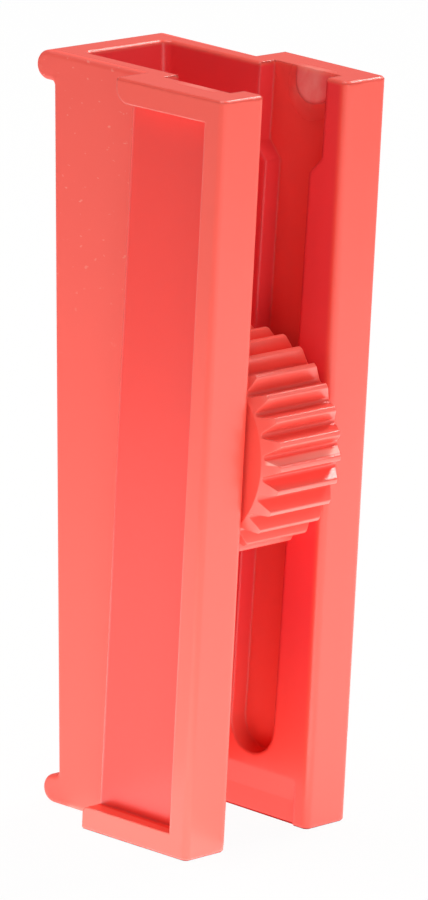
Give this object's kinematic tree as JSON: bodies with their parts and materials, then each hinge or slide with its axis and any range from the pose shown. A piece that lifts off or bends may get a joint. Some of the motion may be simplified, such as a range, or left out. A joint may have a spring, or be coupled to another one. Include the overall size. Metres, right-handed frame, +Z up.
{
  "type": "tubing roller clamp",
  "caption": "Red plastic roller clamp for soft tubing: an open, tapering channel body with end flanges and rear lips, and a ribbed thumb roller that slides in its tracks.",
  "frame": {"origin": "centre of the bounding box in plan, on the flat lower end face", "axes": "+Z up along the channel, -Y out of the open front where the roller stands proud, X across the channel"},
  "size_m": [0.0168, 0.0226, 0.054],
  "materials": {
    "body_plastic": "gloss",
    "roller_plastic": "gloss"
  },
  "bodies": {
    "clamp_body": {"clamp_body": "body_plastic"},
    "roller": {"roller": "roller_plastic"}
  },
  "joints": [
    {"name": "roller_slide", "type": "slide", "parent": "clamp_body", "child": "roller", "axis": [0, -0.0131, 0.9999], "range_m": [-0.0215, 0.0175]}
  ]
}
